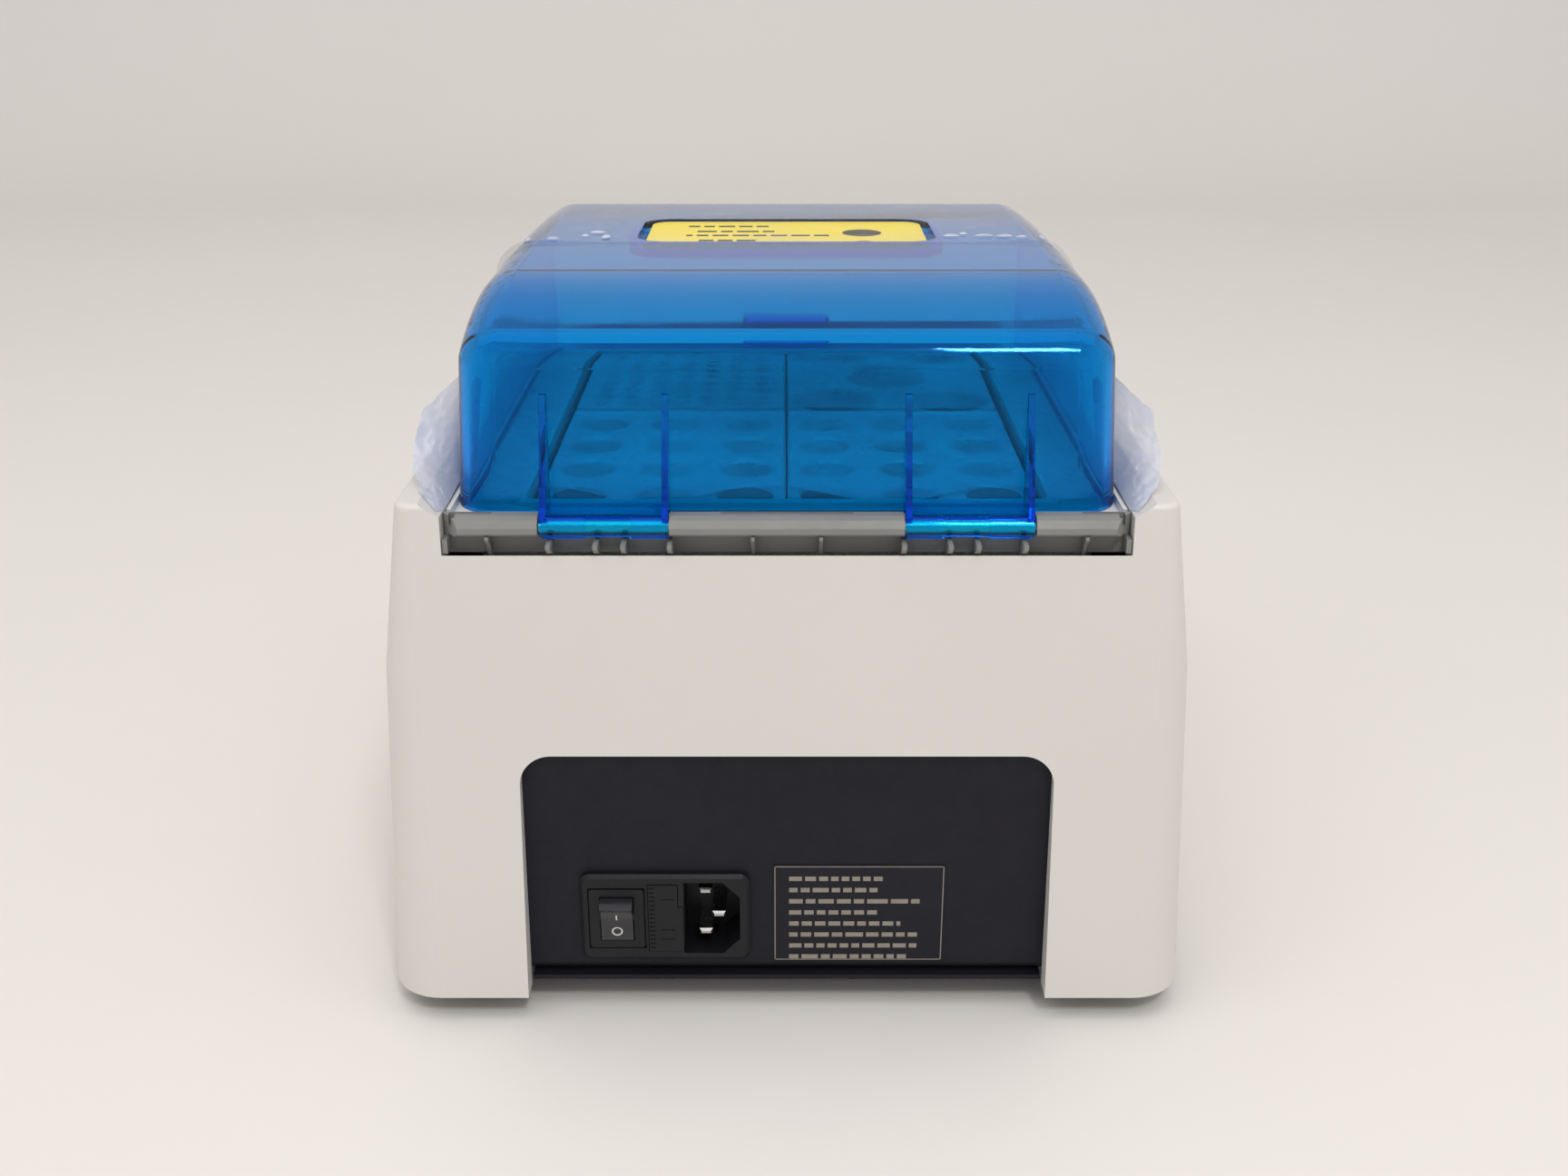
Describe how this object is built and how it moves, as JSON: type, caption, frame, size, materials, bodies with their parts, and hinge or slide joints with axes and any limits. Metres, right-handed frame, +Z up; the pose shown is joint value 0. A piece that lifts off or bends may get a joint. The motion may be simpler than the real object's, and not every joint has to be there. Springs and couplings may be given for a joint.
{
  "type": "dry block heater",
  "caption": "Bench heater for tubes in removable metal blocks, with a hinged clear blue lid, a sloping control panel and a rear power inlet.",
  "frame": {"origin": "bottom centre of the whole object, on the bench under the middle of the housing", "axes": "+Z up; the operator's side, with the control panel, faces -Y and the lid's hinge is at +Y; +X is to the operator's right"},
  "size_m": [0.237, 0.31, 0.2114],
  "materials": {
    "white_abs": "satin moulded",
    "navy_powder_coat": "fine texture powder coat",
    "black_rubber": "matte",
    "zinc_steel": "zinc plated",
    "grey_abs": "fine moulded",
    "stainless": "ground",
    "plate_aluminium": "milled",
    "silicone": "smooth",
    "insulation_foam": "open cell foam",
    "component_black": "moulded",
    "block_aluminium": "bead blasted, clear anodised",
    "blue_clear": "clear tinted polycarbonate",
    "label_yellow": "printed film",
    "clear_silicone": "smooth",
    "film_clear": "thin polythene",
    "film_haze": "milky thin polythene",
    "black_nylon": "satin moulded",
    "tin_plate": "tin plated",
    "fuse_clear": "clear",
    "plate_print": "printed",
    "panel_print": "printed film",
    "window_clear": "clear acrylic",
    "lcd_grey": "glass front",
    "pcb_green": "solder mask",
    "relay_blue": "moulded",
    "terminal_green": "moulded",
    "sink_black": "black anodised",
    "core_steel": "varnished laminations",
    "coil_tape": "taped winding",
    "wire_pvc": "smooth",
    "ribbon_grey": "ribbed",
    "key_grey": "moulded",
    "key_green": "moulded",
    "key_red": "moulded"
  },
  "bodies": {
    "root": {"upper_shell": "white_abs", "base_tray": "navy_powder_coat", "rear_panel": "navy_powder_coat", "rubber_feet": "black_rubber", "foot_screws": "zinc_steel", "foot_nuts": "zinc_steel", "housing_screws": "zinc_steel", "deck_frame": "grey_abs", "hinge_rail": "grey_abs", "hinge_pin_left": "stainless", "hinge_pin_right": "stainless", "well_liner": "plate_aluminium", "hot_plate": "plate_aluminium", "heater_mat": "silicone", "insulation_tray": "insulation_foam", "bracket_plate": "zinc_steel", "support_pillars": "zinc_steel", "thermal_cutout": "component_black", "temperature_probe": "stainless", "lid_bumpers": "clear_silicone", "transit_film": "film_haze", "inlet_body": "black_nylon", "inlet_pins": "tin_plate", "rocker_frame": "black_nylon", "rating_plate": "plate_print", "control_panel": "panel_print", "display_window": "window_clear", "lcd_module": "lcd_grey", "display_board": "pcb_green", "key_switches": "component_black", "main_board": "pcb_green", "board_standoffs": "zinc_steel", "board_capacitors": "component_black", "relay": "relay_blue", "terminal_block": "terminal_green", "heat_sink": "sink_black", "triac": "component_black", "transformer_core": "core_steel", "transformer_coil": "coil_tape", "mains_wires": "wire_pvc", "heater_wires": "wire_pvc", "sensor_lead": "wire_pvc", "ribbon_cable": "ribbon_grey"},
    "lid": {"lid_shell": "blue_clear", "lid_label": "label_yellow", "lid_film": "film_clear"},
    "block_rear_left": {"block_rear_left": "block_aluminium"},
    "block_rear_right": {"block_rear_right": "block_aluminium"},
    "block_front_left": {"block_front_left": "block_aluminium"},
    "block_front_right": {"block_front_right": "block_aluminium"},
    "power_rocker": {"rocker": "black_nylon"},
    "fuse_drawer": {"fuse_drawer": "black_nylon", "fuse_glass": "fuse_clear", "fuse_caps": "tin_plate"},
    "key_mode": {"key_mode": "key_grey"},
    "key_up": {"key_up": "key_grey"},
    "key_set": {"key_set": "key_grey"},
    "key_start": {"key_start": "key_green"},
    "key_down": {"key_down": "key_grey"},
    "key_stop": {"key_stop": "key_red"}
  },
  "joints": [
    {"name": "lid_hinge", "type": "hinge", "parent": "root", "child": "lid", "pos_m": [0, 0.143, 0.1525], "axis": [-1, 0, 0], "range_deg": [0, 100]},
    {"name": "rocker_pivot", "type": "hinge", "parent": "root", "child": "power_rocker", "pos_m": [0.05, 0.1483, 0.0321], "axis": [1, 0, 0], "range_deg": [0, 28]},
    {"name": "fuse_drawer_slide", "type": "slide", "parent": "root", "child": "fuse_drawer", "axis": [0, 1, 0], "range_m": [0, 0.02]},
    {"name": "block_rear_left_lift", "type": "slide", "parent": "root", "child": "block_rear_left", "axis": [0, 0, 1], "range_m": [0, 0.032]},
    {"name": "block_rear_right_lift", "type": "slide", "parent": "root", "child": "block_rear_right", "axis": [0, 0, 1], "range_m": [0, 0.032]},
    {"name": "block_front_left_lift", "type": "slide", "parent": "root", "child": "block_front_left", "axis": [0, 0, 1], "range_m": [0, 0.032]},
    {"name": "block_front_right_lift", "type": "slide", "parent": "root", "child": "block_front_right", "axis": [0, 0, 1], "range_m": [0, 0.032]},
    {"name": "key_mode_press", "type": "slide", "parent": "root", "child": "key_mode", "axis": [0, 0.7832, -0.6218], "range_m": [0, 0.001], "stiffness_N_per_m": 300, "springref_m": -0.002},
    {"name": "key_up_press", "type": "slide", "parent": "root", "child": "key_up", "axis": [0, 0.7832, -0.6218], "range_m": [0, 0.001], "stiffness_N_per_m": 300, "springref_m": -0.002},
    {"name": "key_set_press", "type": "slide", "parent": "root", "child": "key_set", "axis": [0, 0.7832, -0.6218], "range_m": [0, 0.001], "stiffness_N_per_m": 300, "springref_m": -0.002},
    {"name": "key_start_press", "type": "slide", "parent": "root", "child": "key_start", "axis": [0, 0.7832, -0.6218], "range_m": [0, 0.001], "stiffness_N_per_m": 300, "springref_m": -0.002},
    {"name": "key_down_press", "type": "slide", "parent": "root", "child": "key_down", "axis": [0, 0.7832, -0.6218], "range_m": [0, 0.001], "stiffness_N_per_m": 300, "springref_m": -0.002},
    {"name": "key_stop_press", "type": "slide", "parent": "root", "child": "key_stop", "axis": [0, 0.7832, -0.6218], "range_m": [0, 0.001], "stiffness_N_per_m": 300, "springref_m": -0.002}
  ]
}
